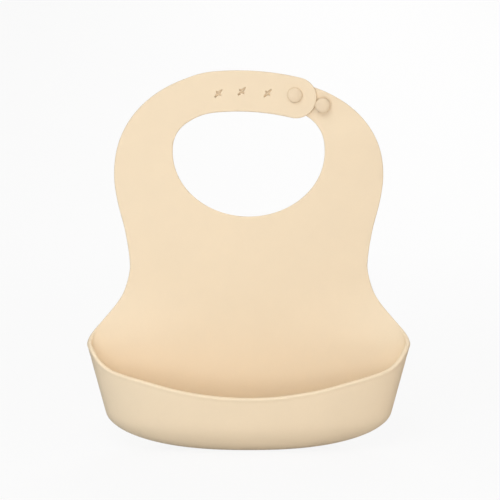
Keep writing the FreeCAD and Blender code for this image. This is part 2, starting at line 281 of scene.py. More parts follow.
def hole_side_edges():
    """Outer and inner edge of the side with the star holes, both from low down to the strap's tip."""
    lean = math.atan2(TIP_X - BAND_X, TIP_Z - (BAND_Z - BAND_R))
    paths = []
    for half_w, rise, at_z, p, r in ((YOKE_HALF_W, YOKE_RISE, YOKE_Z, YOKE_POWER, BAND_R + BAND_HALF),
                                     (NECK_HALF_W, NECK_RISE, NECK_Z, NECK_POWER, BAND_R - BAND_HALF)):
        low = arch_path(half_w, rise, at_z, p, 48.0 if half_w < 80 else 60.0) * (-1, 1)
        x = np.linspace(low[-1, 0], BAND_X + r * math.sin(lean), 260)
        high = np.column_stack([x, eased(x, half_w, rise, at_z, p, r)])
        paths.append(np.vstack([low, high[1:]]))
    outer, inner = paths
    middle = np.array((BAND_X + BAND_R * math.sin(lean), BAND_Z - BAND_R + BAND_R * math.cos(lean)))
    t = lean + np.linspace(0, math.pi, 120)
    tip = middle + BAND_HALF * np.column_stack([np.sin(t), np.cos(t)])
    return np.vstack([side_path(-1), outer[1:]]), inner, tip


def stud_side_edges():
    outer = arch_path(YOKE_HALF_W, STUD_SIDE_RISE, YOKE_Z, YOKE_POWER, ARCH_END_X)
    inner = arch_path(NECK_HALF_W, STUD_SIDE_NECK_RISE, NECK_Z, NECK_POWER, ARCH_END_X)
    t = np.linspace(0, math.pi, 90)
    end = np.column_stack([STUD_END_X - STUD_END_R * np.sin(t), STUD_END_Z + STUD_END_R * np.cos(t)])
    return np.vstack([side_path(1), outer[1:]]), inner, end


def past(path, point, deg, up=1):
    """How far each plan point lies past a line across a strap, towards the strap's end."""
    a = math.radians(deg)
    return up * ((path[:, 1] - point[1]) * math.cos(a) - (path[:, 0] - point[0]) * math.sin(a))


HOLE_ROOT_LINE = (HOLE_ROOT, HOLE_ROOT_DIR, -1)
HOLE_FOLD_LINE = (HOLE_FOLD, HOLE_FOLD_DIR, -1)
STUD_ROOT_LINE = (STUD_ROOT, STUD_ROOT_DIR, 1)


def split(path, line, offset):
    """Cuts an open path where it first crosses a line moved by offset, and returns both parts."""
    d = past(path, *line) - offset
    i = int(np.argmax(d > 0))
    if i == 0:
        raise ValueError("a plan edge never crosses its seam line")
    t = d[i - 1] / (d[i - 1] - d[i])
    cut = path[i - 1] + (path[i] - path[i - 1]) * t
    return np.vstack([path[:i], cut]), np.vstack([cut, path[i:]])


def along(path):
    return np.concatenate([[0.0], np.cumsum(np.linalg.norm(np.diff(path, axis=0), axis=1))])


def resample(path, step):
    s = along(path)
    at = np.linspace(0, s[-1], max(2, round(s[-1] / step) + 1))
    return np.column_stack([np.interp(at, s, path[:, k]) for k in (0, 1)])


def directions(points, closed):
    """Unit vectors along the path and across it, to its left."""
    if closed:
        d = np.roll(points, -1, axis=0) - np.roll(points, 1, axis=0)
    else:
        d = np.gradient(points, axis=0)
        d[0] = 2 * (points[1] - points[0]) - (points[2] - points[0]) / 2
        d[-1] = 2 * (points[-1] - points[-2]) - (points[-1] - points[-3]) / 2
    d /= np.linalg.norm(d, axis=1)[:, None]
    return d, np.column_stack([-d[:, 1], d[:, 0]])


# ---------------------------------------------------------------- closed sheets with rounded edges

ROUND_POINTS = 7            # mesh points in each quarter of a rounded edge


def round_profile(radius, margin=0.25):
    """Across a free edge, front skin to back skin: height off the middle, and reach past the edge."""
    t = np.radians(np.linspace(90, 0, ROUND_POINTS))
    top = np.column_stack([HALF - radius + radius * np.sin(t), radius * (np.cos(t) - 1)])
    low = top[::-1] * (-1, 1)
    return np.vstack([(HALF, -radius - margin), top, low, (-HALF, -radius - margin)])


def rim_profile(radius, out=0.35):
    """Across the thick rolled rim, inner skin to outer skin: a bead on the edge, eased into the wall."""
    t = np.radians(np.linspace(-32, 212, 2 * ROUND_POINTS - 4))
    bead = np.column_stack([out + radius * np.cos(t), radius * np.sin(t)])
    return np.vstack([(HALF, -4.2), (HALF + 0.06, -3.1), (HALF + 0.28, -2.2), bead, (-HALF - 0.02, -2.0),
                      (-HALF, -2.9), (-HALF, -4.2)])


class Shell:
    """Gathers one closed sheet: skins, rounded edges and flat ends, all in plan, placed at the end."""

    def __init__(self, place, step):
        self.place = place      # (across, up, off the middle) in mm, to points in mm
        self.step = step
        self.points = []
        self.faces = []
        self.count = 0

    def grid(self, rows, closed=False):
        """Quads between rows of plan points."""
        r, c = rows.shape[:2]
        self.points.append(rows.reshape(-1, 3))
        for i in range(r - (0 if closed else 1)):
            for j in range(c - 1):
                a, b = self.count + i * c + j, self.count + (i + 1) % r * c + j
                self.faces.append((a, a + 1, b + 1, b))
        self.count += r * c

    def edge(self, points, profile, closed=False, start=None, end=None):
        """A free edge. start and end are the directions of the seams that it stops at, into the sheet."""
        across = directions(points, closed)[1]
        if closed:          # a hole's rounding also runs out from its middle, so that it can't fold over
            out = points - points.mean(axis=0)
            across += out / np.linalg.norm(out, axis=1)[:, None]
            across /= np.linalg.norm(across, axis=1)[:, None]
        for i, seam in ((0, start), (-1, end)):
            if seam is not None:
                seam = np.asarray(seam, float)
                across[i] = seam / (seam @ across[i])
        profile = np.broadcast_to(profile, (len(points),) + np.shape(profile)[-2:])
        plan = points[:, None, :] - across[:, None, :] * profile[:, :, 1:2]
        self.grid(np.concatenate([plan, profile[:, :, 0:1]], axis=2), closed)
        return np.concatenate([plan, profile[:, :, 0:1]], axis=2)

    def end(self, a, b):
        """Flat end along a seam, between the rounded ends a and b of two free edges."""
        for rim in (a, b):
            self.grid(np.stack([rim[:len(rim) // 2], rim[::-1][:len(rim) // 2]]))
        self.grid(np.stack([seam_points(a[k, :2], b[k, :2], self.step, a[k, 2]) for k in (0, -1)]))

    def skins(self, border, inner=(), grid=None):
        """Fills both skins inside the border, around the inner loops."""
        loops = [border, *inner]
        flat = np.vstack(loops)
        edges, first = [], 0
        for loop in loops:
            n = len(loop)
            edges += [(first + k, first + (k + 1) % n) for k in range(n)]
            first += n
        filling = scattered(loops, self.step) if grid is None else within(grid, loops, self.step)
        every = [Vector(p) for p in np.vstack([flat, filling])]
        found = delaunay_2d_cdt(every, edges, [], 1, 1e-5)
        plan, tris = np.array([tuple(v) for v in found[0]]), np.array(found[2])
        tris = tris[inside(plan[tris].mean(axis=1), loops)].tolist()
        for off in (HALF, -HALF):
            self.points.append(np.column_stack([plan, np.full(len(plan), off)]))
            self.faces += [tuple(self.count + k for k in t) for t in tris]
            self.count += len(plan)

    def build(self, name):
        """One merged, closed mesh with its faces outwards."""
        points = self.place(np.vstack(self.points)) * MM
        mesh = bpy.data.meshes.new(name)
        mesh.from_pydata(points.tolist(), [], self.faces)
        return closed_piece(name, mesh)


def closed_piece(name, mesh, sharp=50.0, merge=4e-6):
    bm = bmesh.new()
    bm.from_mesh(mesh)
    bmesh.ops.remove_doubles(bm, verts=bm.verts, dist=merge)
    bmesh.ops.dissolve_degenerate(bm, edges=bm.edges, dist=1e-7)
    loose = [v for v in bm.verts if not v.link_faces]
    bmesh.ops.delete(bm, geom=loose, context="VERTS")
    bmesh.ops.recalc_face_normals(bm, faces=bm.faces)
    if bm.calc_volume(signed=True) < 0:
        bmesh.ops.reverse_faces(bm, faces=bm.faces)
    unclosed = [e for e in bm.edges if len(e.link_faces) != 2]
    if unclosed:
        where = [tuple(round(c / MM, 1) for c in e.verts[0].co) for e in unclosed[:4]]
        raise RuntimeError(f"{name} isn't closed: {len(unclosed)} edges, near {where}")
    bm.to_mesh(mesh)
    bm.free()
    mesh.polygons.foreach_set("use_smooth", [True] * len(mesh.polygons))
    mesh.set_sharp_from_angle(angle=math.radians(sharp))
    piece = bpy.data.objects.new(name, mesh)
    bpy.context.scene.collection.objects.link(piece)
    return piece


def seam_points(a, b, step, off):
    n = max(2, round(np.linalg.norm(b - a) / step) + 1)
    return np.column_stack([np.linspace(a, b, n), np.full(n, off)])


def inside(points, loops):
    """Which plan points lie inside the first loop and outside the others."""
    odd = np.zeros(len(points), bool)
    for loop in loops:
        for (x0, z0), (x1, z1) in zip(loop, np.roll(loop, -1, axis=0)):
            if z0 != z1:
                hit = (points[:, 1] < z0) != (points[:, 1] < z1)
                odd ^= hit & (points[:, 0] < x0 + (points[:, 1] - z0) * (x1 - x0) / (z1 - z0))
    return odd


def within(grid, loops, step):
    """The grid points inside the loops and clear of all of them."""
    grid = grid[inside(grid, loops)]
    border = np.vstack(loops)
    near = np.array([np.min(np.hypot(*(border - p).T)) for p in grid])
    return grid[near > 0.55 * step]


def scattered(loops, step):
    """Even triangular lattice over the loops."""
    lo, hi = loops[0].min(axis=0), loops[0].max(axis=0)
    rows = np.arange(lo[1], hi[1], step * math.sqrt(0.75))
    cols = np.arange(lo[0] - step, hi[0] + step, step)
    grid = np.vstack([np.column_stack([cols + (k % 2) * step / 2, np.full(len(cols), z)])
                      for k, z in enumerate(rows)])
    return within(grid, loops, step)


def flat_piece(name, edges, seams, holes=(), offset=None):
    """A flat moulded piece. Edges run anticlockwise, and a seam joins each one's end to the next one."""
    sizes = bpy.context.scene.bib_sizes
    radius, step = sizes.edge_round / MM, sizes.mesh_step / MM

    def place(p):
        back = 0.0 if offset is None else offset(p[:, :2])
        return np.column_stack([p[:, 0], back - p[:, 2], p[:, 1]])

    shell = Shell(place, step)
    profile = round_profile(radius)
    rims = []
    for k, path in enumerate(edges):
        points = resample(path, sizes.edge_step / MM)
        before, after = seams[k - 1], seams[k]
        rims.append(shell.edge(points, profile, start=before, end=-np.asarray(after, float)))
    border = []
    for k, rim in enumerate(rims):
        following = rims[(k + 1) % len(rims)]
        border.append(rim[:, 0, :2])
        border.append(seam_points(rim[-1, 0, :2], following[0, 0, :2], step, HALF)[1:-1, :2])
        shell.end(rim[-1], following[0])
    inner = []
    for hole, hole_round in holes:
        inner.append(shell.edge(hole, round_profile(hole_round, 0.1), closed=True)[:, 0, :2])
    shell.skins(np.vstack(border), inner)
    return shell.build(name)


def unit(a, b):
    d = np.asarray(b, float) - np.asarray(a, float)
    return d / np.linalg.norm(d)


# ---------------------------------------------------------------- finish

def new_group(name, sockets):
    tree = bpy.data.node_groups.new(name, "ShaderNodeTree")
    for socket, direction, kind, default in sockets:
        made = tree.interface.new_socket(name=socket, in_out=direction, socket_type=kind)
        if default is not None:
            made.default_value = default
    return tree, tree.nodes.new("NodeGroupInput"), tree.nodes.new("NodeGroupOutput")


def noise(tree, scale, detail, rough=0.5):
    node = tree.nodes.new("ShaderNodeTexNoise")
    node.inputs["Detail"].default_value = detail
    node.inputs["Roughness"].default_value = rough
    if isinstance(scale, (int, float)):
        node.inputs["Scale"].default_value = scale
    else:
        tree.links.new(scale, node.inputs["Scale"])
    return node


def ranged(tree, value, low, high, from_low=0.3, from_high=0.7):
    """A Map Range node from a noise to a span of values."""
    node = tree.nodes.new("ShaderNodeMapRange")
    tree.links.new(value, node.inputs["Value"])
    for socket, v in (("From Min", from_low), ("From Max", from_high), ("To Min", low), ("To Max", high)):
        if isinstance(v, (int, float)):
            node.inputs[socket].default_value = v
        else:
            tree.links.new(v, node.inputs[socket])
    return node.outputs["Result"]


def maths(tree, kind, a, b):
    node = tree.nodes.new("ShaderNodeMath")
    node.operation = kind
    for i, v in enumerate((a, b)):
        if isinstance(v, (int, float)):
            node.inputs[i].default_value = v
        else:
            tree.links.new(v, node.inputs[i])
    return node.outputs["Value"]


def milky_mottling():
    """Pigment that never mixes quite evenly: slow clouds and fine specks, as colour and roughness."""
    name = "Milky Mottling"
    if name in bpy.data.node_groups:
        return bpy.data.node_groups[name]
    tree, start, end = new_group(name, (
        ("Colour", "INPUT", "NodeSocketColor", (0.9, 0.75, 0.55, 1.0)),
        ("Strength", "INPUT", "NodeSocketFloat", 0.04),
        ("Roughness", "INPUT", "NodeSocketFloat", 0.6),
        ("Colour", "OUTPUT", "NodeSocketColor", None),
        ("Roughness", "OUTPUT", "NodeSocketFloat", None)))
    links = tree.links
    coords = tree.nodes.new("ShaderNodeTexCoord")
    clouds, specks, swirl = noise(tree, 22.0, 3.0), noise(tree, 900.0, 2.0), noise(tree, 70.0, 4.0, 0.6)
    for n in (clouds, specks, swirl):
        links.new(coords.outputs["Object"], n.inputs["Vector"])
    swirl.inputs["Distortion"].default_value = 0.6
    cloud = ranged(tree, clouds.outputs["Fac"], -1.0, 1.0)
    speck = ranged(tree, specks.outputs["Fac"], -0.45, 0.45)
    drift = ranged(tree, swirl.outputs["Fac"], -0.5, 0.5)
    total = maths(tree, "ADD", maths(tree, "ADD", cloud, speck), drift)
    scale = maths(tree, "ADD", maths(tree, "MULTIPLY", total, start.outputs["Strength"]), 1.0)
    tint = tree.nodes.new("ShaderNodeVectorMath")
    tint.operation = "SCALE"
    links.new(start.outputs["Colour"], tint.inputs[0])
    links.new(scale, tint.inputs["Scale"])
    links.new(tint.outputs["Vector"], end.inputs["Colour"])
    wear = maths(tree, "MULTIPLY", total, 0.05)
    links.new(maths(tree, "ADD", start.outputs["Roughness"], wear), end.inputs["Roughness"])
    return tree


def moulded_grain():
    """Height of the mould's fine blasted grain over a very slight waviness."""
    name = "Moulded Grain"
    if name in bpy.data.node_groups:
        return bpy.data.node_groups[name]
    tree, start, end = new_group(name, (
        ("Scale", "INPUT", "NodeSocketFloat", 1500.0),
        ("Grain", "INPUT", "NodeSocketFloat", 1.0),
        ("Waves", "INPUT", "NodeSocketFloat", 1.0),
        ("Height", "OUTPUT", "NodeSocketFloat", None)))
    coords = tree.nodes.new("ShaderNodeTexCoord")
    fine = noise(tree, start.outputs["Scale"], 3.0, 0.55)
    wave = noise(tree, 26.0, 2.0)
    for n in (fine, wave):
        tree.links.new(coords.outputs["Object"], n.inputs["Vector"])
    grain = maths(tree, "MULTIPLY", fine.outputs["Fac"], start.outputs["Grain"])
    waves = maths(tree, "MULTIPLY", wave.outputs["Fac"], start.outputs["Waves"])
    tree.links.new(maths(tree, "ADD", grain, waves), end.inputs["Height"])
    return tree


def silicone(name, colour, roughness, sheen, waves):
    """Matte silicone with a soft bloom."""
    if name in bpy.data.materials:
        return bpy.data.materials[name]
    finish = bpy.context.scene.bib_finish
    mat = bpy.data.materials.new(name)
    mat.use_nodes = True
    tree = mat.node_tree
    shader = tree.nodes["Principled BSDF"]
    mottle, grain = (tree.nodes.new("ShaderNodeGroup") for _ in range(2))
    mottle.node_tree, grain.node_tree = milky_mottling(), moulded_grain()
    mottle.inputs["Colour"].default_value = (*colour, 1.0)
    mottle.inputs["Strength"].default_value = finish.mottle
    mottle.inputs["Roughness"].default_value = roughness
    grain.inputs["Waves"].default_value = waves
    bump = tree.nodes.new("ShaderNodeBump")
    bump.inputs["Distance"].default_value = finish.grain
    bump.inputs["Strength"].default_value = 1.0
    tree.links.new(mottle.outputs["Colour"], shader.inputs["Base Color"])
    tree.links.new(mottle.outputs["Roughness"], shader.inputs["Roughness"])
    tree.links.new(grain.outputs["Height"], bump.inputs["Height"])
    tree.links.new(bump.outputs["Normal"], shader.inputs["Normal"])
    shader.inputs["Specular IOR Level"].default_value = 0.3
    shader.inputs["Sheen Weight"].default_value = sheen
    shader.inputs["Sheen Roughness"].default_value = 0.5
    mat.diffuse_color = (*colour, 1.0)
    return mat


def sheet_silicone():
    finish = bpy.context.scene.bib_finish
    return silicone("Matte Silicone", finish.silicone, finish.roughness, 0.08, 4.0)


def stud_silicone():
    finish = bpy.context.scene.bib_finish
    return silicone("Dense Silicone", finish.stud, finish.roughness - 0.1, 0.04, 2.0)


# ---------------------------------------------------------------- pieces of the sheet

def line_side(edge_a, edge_b):
    """Direction of the seam from the end of one edge to the start of the next."""
    return unit(edge_a[-1], edge_b[0])


def seams_between(edges):
    return [line_side(edge, edges[(k + 1) % len(edges)]) for k, edge in enumerate(edges)]


def finish_piece(piece, material, *nodes):
    piece.data.materials.clear()
    piece.data.materials.append(material)
    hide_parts(*nodes)


def star_hole(x, z):
    """Four-pointed star with hollow sides and softened points, clockwise."""
    sizes = bpy.context.scene.bib_sizes
    long, short, waist = (v / MM for v in (sizes.star_long, sizes.star_short, sizes.star_waist))
    a = np.linspace(0, -2 * math.pi, 73)[:-1]
    reach = short + (long - short) * np.cos(a) ** 2
    r = waist + (reach - waist) * ((1 + np.cos(4 * a)) / 2) ** 1.8
    a = a + sizes.star_turn
    return np.column_stack([x + r * np.cos(a), z + r * np.sin(a)])


def step_back(plan):
    s = past(plan, *STUD_ROOT_LINE)
    return LAP * smooth((s - STEP_FROM) / (STEP_TO - STEP_FROM))


class BIB_OT_chest(bpy.types.Operator):
    """Build the flat chest sheet with the yokes and the waist band"""
    bl_idname = "bib.chest"
    bl_label = "Chest Sheet"

    def execute(self, context):
        left_out, left_in, _ = hole_side_edges()
        right_out, right_in, _ = stud_side_edges()
        left_out = split(left_out, HOLE_ROOT_LINE, -ROOT_SEAM)[0]
        right_out = split(right_out, STUD_ROOT_LINE, -ROOT_SEAM)[0]
        drop = neck_drop()
        low = split(drop[:len(drop) // 2][::-1], STUD_ROOT_LINE, -ROOT_SEAM)[0][::-1]
        high = split(drop[len(drop) // 2:], HOLE_ROOT_LINE, -ROOT_SEAM)[0]
        edges = [right_out, np.vstack([low, high]), left_out[::-1]]
        piece = flat_piece("chest_sheet", edges, seams_between(edges))
        finish_piece(piece, sheet_silicone(), "chest_panel", "yoke_hole_side", "yoke_stud_side",
                     "waist_band")
        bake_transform(piece)
        return {"FINISHED"}


class BIB_OT_hole_strap(bpy.types.Operator):
    """Build the strap with the star holes, in two lengths that meet before its fold"""
    bl_idname = "bib.hole_strap"
    bl_label = "Star-Holed Strap"

    def execute(self, context):
        outer, inner, tip = hole_side_edges()
        drop = neck_drop()
        inner = np.vstack([drop[len(drop) // 2:], inner[1:]])
        outer, outer_end = split(split(outer, HOLE_ROOT_LINE, -ROOT_SEAM)[1], HOLE_FOLD_LINE, -FOLD_SEAM)
        inner, inner_end = split(split(inner, HOLE_ROOT_LINE, -ROOT_SEAM)[1], HOLE_FOLD_LINE, -FOLD_SEAM)
        edges = [inner, outer[::-1]]
        base = flat_piece("star_strap_base", edges, seams_between(edges))
        finish_piece(base, sheet_silicone(), "hole_strap_base")
        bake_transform(base)

        sizes = context.scene.bib_sizes
        edges = [np.vstack([inner_end, tip[::-1][1:-1], outer_end[::-1]])]
        t = np.linspace(0, -2 * math.pi, 49)[:-1]
        snap = sizes.snap_hole / MM
        stud = stud_place("fastened_stud")
        snap_hole = np.column_stack([stud[0] + snap * np.cos(t), stud[1] + snap * np.sin(t)])
        holes = [(star_hole(x, z), 0.3) for x, z in HOLES] + [(snap_hole, 0.35)]
        piece = flat_piece("star_strap_end", edges, seams_between(edges), holes)
        finish_piece(piece, sheet_silicone(), "hole_strap_end")
        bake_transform(piece)
        return {"FINISHED"}


class BIB_OT_stud_strap(bpy.types.Operator):
    """Build the strap that carries the snap studs and passes behind the other one"""
    bl_idname = "bib.stud_strap"
    bl_label = "Studded Strap"

    def execute(self, context):
        outer, inner, end = stud_side_edges()
        drop = neck_drop()
        inner = np.vstack([drop[:len(drop) // 2][::-1], inner[1:]])
        outer = split(outer, STUD_ROOT_LINE, -ROOT_SEAM)[1]
        inner = split(inner, STUD_ROOT_LINE, -ROOT_SEAM)[1]
        edges = [np.vstack([outer, end, inner[::-1]])]
        piece = flat_piece("stud_strap_sheet", edges, seams_between(edges), offset=step_back)
        finish_piece(piece, sheet_silicone(), "stud_strap")
        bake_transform(piece)
        return {"FINISHED"}


# ---------------------------------------------------------------- snap studs

def stud_place(node):
    """Middle of a stud's foot in plan, in mm."""
    lo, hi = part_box(node)
    return (lo.x + hi.x) / 2 / MM, (lo.z + hi.z) / 2 / MM


STUD_SUNK = 0.3             # the stud's foot reaches this far into the sheet
FOOT_FILLET, HEAD_FILLET = 0.9, 0.4
STUD_TURNS = 64


def stud_mesh(head, neck, foot_y, back_y, top_y):
    """A stud turned about Y at the origin: flared foot, neck, flat underside, domed head."""
    profile = [(0.0, foot_y + STUD_SUNK), (neck + FOOT_FILLET, foot_y + STUD_SUNK)]
    for k in range(7):          # fillet at the foot
        a = math.radians(90 * k / 6)
        profile.append((neck + FOOT_FILLET * (1 - math.sin(a)), foot_y - FOOT_FILLET * (1 - math.cos(a))))
    for k in range(4):          # fillet under the head
        a = math.radians(90 * k / 3)
        profile.append((neck + HEAD_FILLET * (1 - math.cos(a)), back_y + HEAD_FILLET * (1 - math.sin(a))))
    edge, low = 0.55, 0.45
    profile += [(head - edge, back_y)]
    for k in range(1, 5):       # lower lip
        a = math.radians(90 * k / 4)
        profile.append((head - edge + edge * math.sin(a), back_y - low * (1 - math.cos(a))))
    rise = back_y - low - top_y
    for k in range(1, 13):      # shoulder and low dome
        a = math.radians(90 * k / 12)
        profile.append((head * math.cos(a) ** 0.75, back_y - low - rise * math.sin(a) ** 1.05))
    profile[-1] = (0.0, top_y)
    turns = STUD_TURNS
    verts, faces = [], []
    for r, y in profile:
        for j in range(turns):
            a = 2 * math.pi * j / turns
            verts.append((r * math.cos(a) * MM, y * MM, r * math.sin(a) * MM))
    for i in range(len(profile) - 1):
        for j in range(turns):
            k = (j + 1) % turns
            faces.append((i * turns + j, i * turns + k, (i + 1) * turns + k, (i + 1) * turns + j))
    mesh = bpy.data.meshes.new("snap_stud")
    mesh.from_pydata(verts, [], faces)
    return mesh


def stud_tree():
    """Stands one stud at each of a row of evenly spaced places."""
    tree = bpy.data.node_groups.new("Row of Studs", "GeometryNodeTree")
    inputs = (("Stud", "NodeSocketGeometry"), ("First", "NodeSocketVector"), ("Step", "NodeSocketVector"),
              ("Count", "NodeSocketInt"), ("Silicone", "NodeSocketMaterial"))
    for name, kind in inputs:
        tree.interface.new_socket(name=name, in_out="INPUT", socket_type=kind)
    tree.interface.new_socket(name="Studs", in_out="OUTPUT", socket_type="NodeSocketGeometry")
    start, end = tree.nodes.new("NodeGroupInput"), tree.nodes.new("NodeGroupOutput")
    line = tree.nodes.new("GeometryNodeMeshLine")
    line.mode = "OFFSET"
    stand = tree.nodes.new("GeometryNodeInstanceOnPoints")
    real = tree.nodes.new("GeometryNodeRealizeInstances")
    paint = tree.nodes.new("GeometryNodeSetMaterial")
    for a, b in ((start.outputs["Count"], line.inputs["Count"]),
                 (start.outputs["First"], line.inputs["Start Location"]),
                 (start.outputs["Step"], line.inputs["Offset"]),
                 (line.outputs["Mesh"], stand.inputs["Points"]),
                 (start.outputs["Stud"], stand.inputs["Instance"]),
                 (stand.outputs["Instances"], real.inputs["Geometry"]),
                 (real.outputs["Geometry"], paint.inputs["Geometry"]),
                 (start.outputs["Silicone"], paint.inputs["Material"]),
                 (paint.outputs["Geometry"], end.inputs["Studs"])):
        tree.links.new(a, b)
    return tree


def applied(piece, tree, values):
    """Runs a node tree on a piece with the given inputs, and leaves the result as its plain mesh."""
    modifier = piece.modifiers.new(tree.name, "NODES")
    modifier.node_group = tree
    for item in tree.interface.items_tree:
        if item.in_out == "INPUT" and item.name in values:
            modifier[item.identifier] = values[item.name]
    graph = bpy.context.evaluated_depsgraph_get()
    made = bpy.data.meshes.new_from_object(piece.evaluated_get(graph))
    piece.modifiers.remove(modifier)
    name = piece.data.name
    piece.data = made
    made.name = name
    return piece


class BIB_OT_studs(bpy.types.Operator):
    """Build both snap studs, the fastened one and the free one"""
    bl_idname = "bib.studs"
    bl_label = "Snap Studs"

    def execute(self, context):
        sizes = context.scene.bib_sizes
        nodes = ("fastened_stud", "free_stud")
        lo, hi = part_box(nodes[0])
        head_back = lo.y / MM + 2.4
        mesh = stud_mesh(sizes.stud_head / MM, sizes.stud_neck / MM, hi.y / MM, head_back, lo.y / MM)
        piece = closed_piece("snap_studs", mesh, merge=2e-6)
        (x0, z0), (x1, z1) = (stud_place(n) for n in nodes)
        values = {"First": (x0 * MM, 0.0, z0 * MM), "Step": ((x1 - x0) * MM, 0.0, (z1 - z0) * MM),
                  "Count": len(nodes), "Silicone": stud_silicone()}
        applied(piece, stud_tree(), values)
        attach(piece, "stud_strap")
        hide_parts(*nodes)
        return {"FINISHED"}


# ---------------------------------------------------------------- pocket

def ring_table(n=7200):
    """Distance around the reference ring for angles from the back, both ways round to the front."""
    a = np.linspace(-math.pi, math.pi, n + 1)
    r = (np.abs(np.cos(a)) ** RING_POWER + np.abs(np.sin(a)) ** RING_POWER) ** (-1 / RING_POWER)
    s = along(np.column_stack([RING_REF_W * r * np.sin(a), RING_REF_D * r * np.cos(a)]))
    return a, s - s[-1] / 2


RING_ANGLES, RING_LENGTHS = ring_table()
RING_HALF = RING_LENGTHS[-1]


def ring_angle(table_deg):
    """Polar angle on a ring for the angle of the superellipse's own formula, in degrees."""
    a = np.radians(np.asarray(table_deg, float))
    e = 2 / RING_POWER
    s, c = np.sin(a), np.cos(a)
    return np.arctan2(np.copysign(np.abs(s) ** e, s), np.copysign(np.abs(c) ** e, c))


def around(table_deg):
    return np.interp(ring_angle(table_deg), RING_ANGLES, RING_LENGTHS)


def ring_points(s, z, half_w, half_d, centre_y):
    a = np.interp(s, RING_LENGTHS, RING_ANGLES)
    r = (np.abs(np.cos(a)) ** RING_POWER + np.abs(np.sin(a)) ** RING_POWER) ** (-1 / RING_POWER)
    return np.stack([half_w * r * np.sin(a), centre_y + half_d * r * np.cos(a), z + 0 * s], axis=-1)


def wall_middle(s, z):
    depth = (WALL_HALF_D + DEPTH_FLARE * (z - WALL_Z)) * smooth((POCKET_TOP - z) / BULGE_LENGTH)
    return ring_points(s, z, ring_half_w(z), depth, -depth)


def bowl_middle(s, turn):
    """Rounded foot of the wall: turn 0 where the wall ends, a quarter turn at the flat floor."""
    z = WALL_Z + (FLOOR_Z - WALL_Z) * np.sin(turn)
    wide = ring_half_w(z)
    deep = WALL_HALF_D + DEPTH_FLARE * (z - WALL_Z)
    u = np.clip((ROUND_Z - z) / (ROUND_Z - FLOOR_Z), 0, 1)
    half_w = FLOOR_HALF_W + (wide - FLOOR_HALF_W) * np.sqrt(1 - np.clip(np.sin(turn), 0, 1) ** FOOT_POWER)
    half_d = FLOOR_HALF_D + (deep - FLOOR_HALF_D) * np.sqrt(1 - u * u)
    return ring_points(s, z, half_w, half_d, -deep)


def offset_surface(middle, s, v, off, dv):
    """Points off a surface along its normal, into the pocket for a positive offset."""
    ds = 0.4
    a = middle(s + ds, v) - middle(s - ds, v)
    b = middle(s, v + dv) - middle(s, v - dv)
    n = np.cross(a, b)
    n /= np.linalg.norm(n, axis=-1)[..., None]
    return middle(s, v) + n * np.asarray(off)[..., None]


def wall_place(p):
    s = np.where(np.abs(p[:, 0]) > RING_HALF, np.copysign(RING_HALF, p[:, 0]), p[:, 0])
    low = 0.3
    z = np.minimum(p[:, 1], POCKET_TOP)
    at = offset_surface(periodic(wall_middle), s, z - low * (z > POCKET_TOP - low), p[:, 2], low)
    flat = p[:, 1] > POCKET_TOP - low
    at[flat] = np.column_stack([wall_middle(p[flat, 0], p[flat, 1])[:, 0], -p[flat, 2], p[flat, 1]])
    return at


def periodic(middle):
    def wrapped(s, v):
        return middle((s + RING_HALF) % (2 * RING_HALF) - RING_HALF, v)
    return wrapped


def pocket_edge():
    """The free edge in plan, from the seam to the middle of the front, on the +X side."""
    deg = BACK_ANGLE + (180 - BACK_ANGLE) * np.linspace(0, 1, 1500) ** 1.6
    return np.column_stack([around(deg), through(EDGE_ANGLE, EDGE_HEIGHT, deg)])


